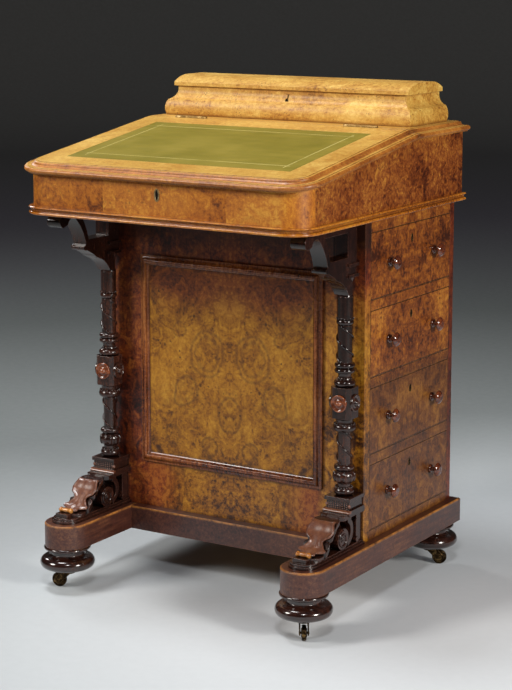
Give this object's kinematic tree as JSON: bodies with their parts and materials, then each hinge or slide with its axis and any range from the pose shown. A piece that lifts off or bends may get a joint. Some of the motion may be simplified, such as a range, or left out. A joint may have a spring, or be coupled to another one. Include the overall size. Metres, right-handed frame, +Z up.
{
  "type": "davenport desk",
  "caption": "Small sloping-top writing desk on a pedestal of side drawers, with turned front columns, a stationery box and casters.",
  "frame": {"origin": "on the floor, under the middle of the whole desk", "axes": "+Z up, +X towards the side with the drawers, -Y towards the sitter"},
  "size_m": [0.5469, 0.5525, 0.8343],
  "materials": {
    "walnut_golden": "french polish",
    "walnut_burr": "french polish",
    "walnut_figured": "french polish",
    "walnut_dark": "french polish",
    "walnut_carved": "french polish",
    "oak": "bare, waxed",
    "satinwood": "satin",
    "leather": "skiver, gold tooled",
    "brass": "aged"
  },
  "bodies": {
    "carcass": {"rail_left": "walnut_dark", "rail_right": "walnut_dark", "plinth_bands": "walnut_dark", "bun_feet": "walnut_carved", "caster_sockets": "brass", "pedestal_side": "walnut_figured", "pedestal_front": "walnut_figured", "pedestal_back": "walnut_figured", "dust_boards": "oak", "drawer_rails": "walnut_figured", "dummy_drawer_fronts": "walnut_burr", "dummy_drawer_knobs": "walnut_carved", "panel_moulding": "walnut_figured", "burr_panel": "walnut_burr", "column_left": "walnut_carved", "column_right": "walnut_carved", "column_roundels": "walnut_burr", "console_left": "walnut_carved", "console_right": "walnut_carved", "bracket_left": "walnut_carved", "bracket_right": "walnut_carved", "case_front": "walnut_burr", "case_side_left": "walnut_burr", "case_side_right": "walnut_burr", "case_back": "walnut_figured", "case_floor": "walnut_figured", "case_moulding": "walnut_golden", "top_board": "walnut_golden", "fixed_hinge_leaves": "brass", "locks": "brass", "nest_carcass": "satinwood", "box_walls": "walnut_golden", "box_partitions": "satinwood"},
    "slope_lid": {"slope_lid": "walnut_golden", "slope_leather": "leather", "slope_lid_hinge_leaves": "brass"},
    "box_lid": {"box_lid": "walnut_golden", "box_lid_hinge_leaves": "brass"},
    "drawer_1": {"drawer_1_front": "walnut_burr", "drawer_1_tray": "oak", "drawer_1_knobs": "walnut_carved"},
    "drawer_2": {"drawer_2_front": "walnut_burr", "drawer_2_tray": "oak", "drawer_2_knobs": "walnut_carved"},
    "drawer_3": {"drawer_3_front": "walnut_burr", "drawer_3_tray": "oak", "drawer_3_knobs": "walnut_carved"},
    "drawer_4": {"drawer_4_front": "walnut_burr", "drawer_4_tray": "oak", "drawer_4_knobs": "walnut_carved"},
    "nest_drawer_left": {"nest_drawer_left": "satinwood"},
    "nest_drawer_right": {"nest_drawer_right": "satinwood"},
    "caster_front_left": {"caster_horn_front_left": "brass"},
    "wheel_front_left": {"caster_wheel_front_left": "brass"},
    "caster_front_right": {"caster_horn_front_right": "brass"},
    "wheel_front_right": {"caster_wheel_front_right": "brass"},
    "caster_back_left": {"caster_horn_back_left": "brass"},
    "wheel_back_left": {"caster_wheel_back_left": "brass"},
    "caster_back_right": {"caster_horn_back_right": "brass"},
    "wheel_back_right": {"caster_wheel_back_right": "brass"}
  },
  "joints": [
    {"name": "slope_lid_hinge", "type": "hinge", "parent": "carcass", "child": "slope_lid", "pos_m": [0, 0.08075, 0.766], "axis": [-1, 0, 0], "range_deg": [0, 130]},
    {"name": "box_lid_hinge", "type": "hinge", "parent": "carcass", "child": "box_lid", "pos_m": [0, 0.25095, 0.81615], "axis": [-1, 0, 0], "range_deg": [0, 105]},
    {"name": "drawer_1_slide", "type": "slide", "parent": "carcass", "child": "drawer_1", "axis": [1, 0, 0], "range_m": [0, 0.36]},
    {"name": "drawer_2_slide", "type": "slide", "parent": "carcass", "child": "drawer_2", "axis": [1, 0, 0], "range_m": [0, 0.36]},
    {"name": "drawer_3_slide", "type": "slide", "parent": "carcass", "child": "drawer_3", "axis": [1, 0, 0], "range_m": [0, 0.36]},
    {"name": "drawer_4_slide", "type": "slide", "parent": "carcass", "child": "drawer_4", "axis": [1, 0, 0], "range_m": [0, 0.36]},
    {"name": "nest_drawer_left_slide", "type": "slide", "parent": "carcass", "child": "nest_drawer_left", "axis": [0, -1, 0], "range_m": [0, 0.11]},
    {"name": "nest_drawer_right_slide", "type": "slide", "parent": "carcass", "child": "nest_drawer_right", "axis": [0, -1, 0], "range_m": [0, 0.11]},
    {"name": "caster_front_left_swivel", "type": "hinge", "parent": "carcass", "child": "caster_front_left", "pos_m": [-0.228, -0.20225, 0.036], "axis": [0, 0, 1], "continuous": true},
    {"name": "wheel_front_left_roll", "type": "hinge", "parent": "caster_front_left", "child": "wheel_front_left", "pos_m": [-0.24249, -0.20613, 0.0125], "axis": [0.2588, -0.9659, 0], "continuous": true},
    {"name": "caster_front_right_swivel", "type": "hinge", "parent": "carcass", "child": "caster_front_right", "pos_m": [0.228, -0.20225, 0.036], "axis": [0, 0, 1], "continuous": true},
    {"name": "wheel_front_right_roll", "type": "hinge", "parent": "caster_front_right", "child": "wheel_front_right", "pos_m": [0.23595, -0.21497, 0.0125], "axis": [0.848, 0.5299, 0], "continuous": true},
    {"name": "caster_back_left_swivel", "type": "hinge", "parent": "carcass", "child": "caster_back_left", "pos_m": [-0.228, 0.23075, 0.036], "axis": [0, 0, 1], "continuous": true},
    {"name": "wheel_back_left_roll", "type": "hinge", "parent": "caster_back_left", "child": "wheel_back_left", "pos_m": [-0.23764, 0.24224, 0.0125], "axis": [-0.766, -0.6428, 0], "continuous": true},
    {"name": "caster_back_right_swivel", "type": "hinge", "parent": "carcass", "child": "caster_back_right", "pos_m": [0.228, 0.23075, 0.036], "axis": [0, 0, 1], "continuous": true},
    {"name": "wheel_back_right_roll", "type": "hinge", "parent": "caster_back_right", "child": "wheel_back_right", "pos_m": [0.24124, 0.23779, 0.0125], "axis": [-0.4695, 0.8829, 0], "continuous": true}
  ]
}
